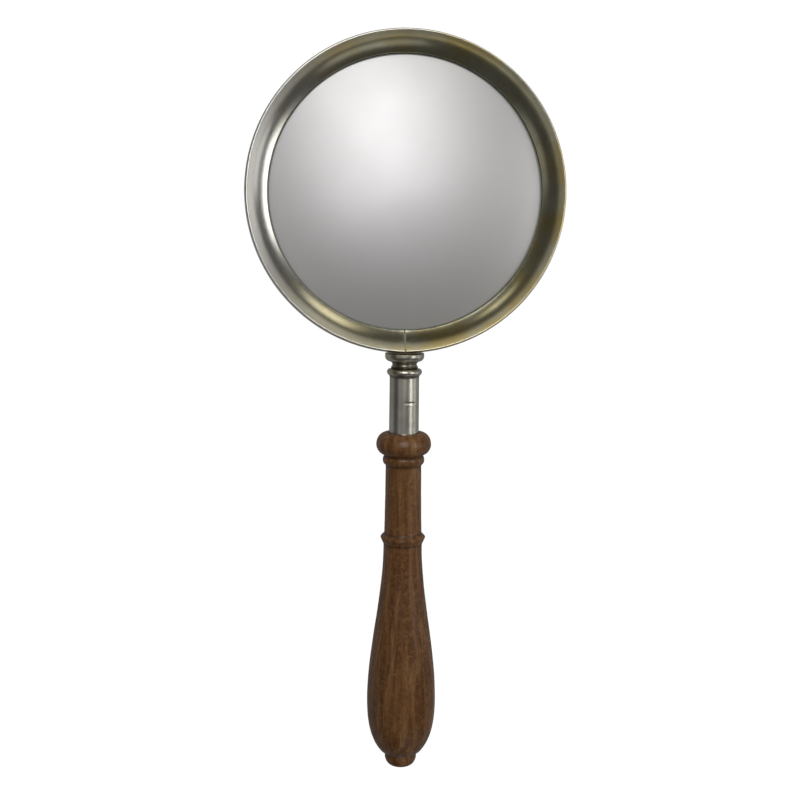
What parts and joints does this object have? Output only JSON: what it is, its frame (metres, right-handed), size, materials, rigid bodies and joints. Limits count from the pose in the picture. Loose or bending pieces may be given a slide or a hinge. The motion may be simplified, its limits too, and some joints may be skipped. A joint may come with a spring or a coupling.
{
  "type": "hand magnifier",
  "caption": "Round domed glass with a silvered back in a dished metal ring, on a turned wooden handle that unscrews from a split stud.",
  "frame": {"origin": "centre of the object's footprint, at the lowest point of the handle's bulb, as it lies on its back", "axes": "+Z out of the glass, +Y from the handle to the far side of the ring, +X across the ring"},
  "size_m": [0.1124, 0.2614, 0.0246],
  "materials": {
    "nickel": "aged nickel plate over brass, satin, worn warm in places",
    "brass": "plain machined",
    "steel": "plain drawn",
    "glass": "polished, silvered behind",
    "silvering": "silvered, painted behind",
    "gasket": "matt black",
    "card": "pressed grey card",
    "wood": "dark stained hardwood, waxed satin"
  },
  "bodies": {
    "ring_head": {"frame_ring": "nickel", "convex_glass": "glass", "silver_coat": "silvering", "glass_gasket": "gasket", "packing_ring": "card", "backing_board": "card", "back_plate": "nickel", "retaining_wire": "steel", "stud_half_left": "brass", "stud_half_right": "brass"},
    "collar": {"neck_collar": "nickel", "seat_washer": "brass"},
    "handle": {"ferrule": "nickel", "threaded_insert": "brass", "ferrule_pin": "steel", "tang": "steel", "handle_grip": "wood", "tang_washer": "steel", "tang_nut": "steel", "end_button": "wood"}
  },
  "joints": [
    {"name": "collar_slide", "type": "slide", "parent": "ring_head", "child": "collar", "axis": [0, -1, 0], "range_m": [0, 0.007]},
    {"name": "handle_screw", "type": "hinge", "parent": "collar", "child": "handle", "pos_m": [0, 0, 0.0123], "axis": [0, -1, 0], "range_deg": [0, 3150]}
  ],
  "couplings": [
    {"joint": "handle_screw", "follows": "collar_slide", "rad_per_m": 7850}
  ]
}
